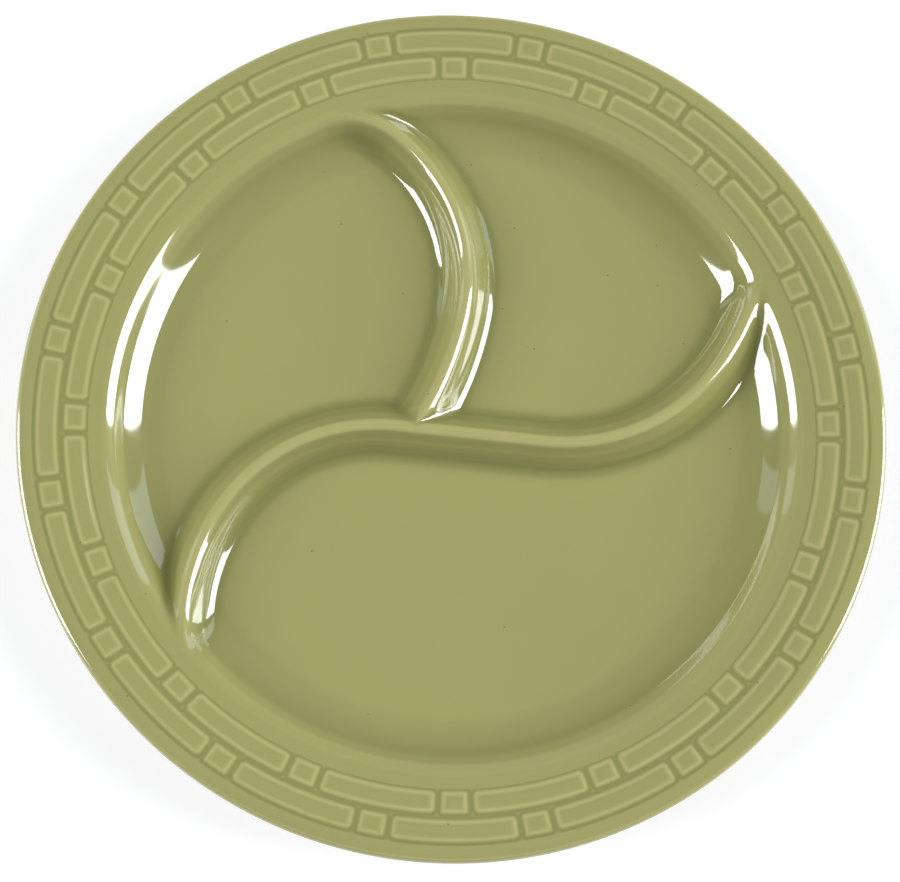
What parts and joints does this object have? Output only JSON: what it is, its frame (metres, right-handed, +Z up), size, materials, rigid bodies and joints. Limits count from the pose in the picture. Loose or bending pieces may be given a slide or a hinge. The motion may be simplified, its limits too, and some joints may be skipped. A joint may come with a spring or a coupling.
{
  "type": "divided compartment plate",
  "caption": "Round glazed stoneware plate whose well is parted by curved raised dividers, with a sloping rim that carries a woven relief border.",
  "frame": {"origin": "centre of the plate on the plane that the foot ring stands on", "axes": "+Z up out of the well, +X towards the end of the long divider that meets the wall on the right, +Y away from the undivided half of the well"},
  "size_m": [0.26, 0.26, 0.0229],
  "materials": {
    "glazed_body": "glossy sage green glaze over stoneware",
    "glazed_relief": "glossy sage green glaze, broken lighter over the raised edges",
    "bare_clay": "unglazed standing edge of buff stoneware, smooth matt"
  },
  "bodies": {
    "root": {"plate_body": "glazed_body", "foot_ring": "bare_clay", "long_divider": "glazed_body", "short_divider": "glazed_body", "outer_splints": "glazed_relief", "inner_splints": "glazed_relief", "outer_stakes": "glazed_relief", "inner_stakes": "glazed_relief"}
  },
  "joints": []
}
